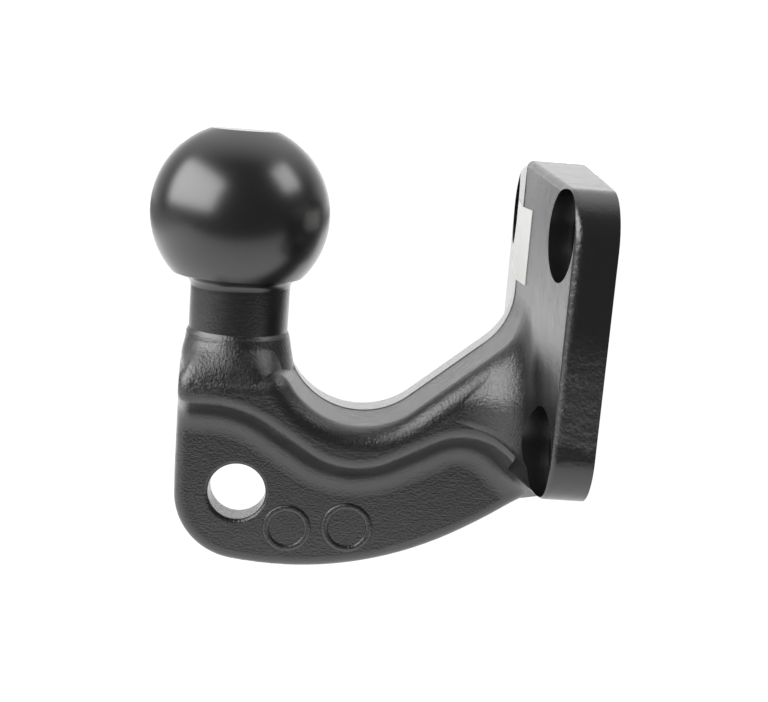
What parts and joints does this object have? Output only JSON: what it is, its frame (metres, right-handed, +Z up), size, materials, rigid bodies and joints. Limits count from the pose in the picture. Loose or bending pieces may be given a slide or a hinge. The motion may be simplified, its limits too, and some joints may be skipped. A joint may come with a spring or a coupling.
{
  "type": "tow ball",
  "caption": "Forged swan-neck tow ball with a flat-topped ball on a turned neck, a curved bar with a cable ear below it and a bolt-on flange.",
  "frame": {"origin": "middle of the four flange bolt holes on the flat mounting face", "axes": "+X out of the mounting face, into the towing vehicle; +Z up along the ball's neck; +Y across the flange, the forging being alike on both sides of Y = 0"},
  "size_m": [0.12, 0.11, 0.1254],
  "materials": {
    "black_coat": "satin black coat over forged and turned steel",
    "white_paper": "matt white paper sticker, blank"
  },
  "bodies": {
    "root": {"tow_ball_forging": "black_coat", "paper_label": "white_paper"}
  },
  "joints": []
}
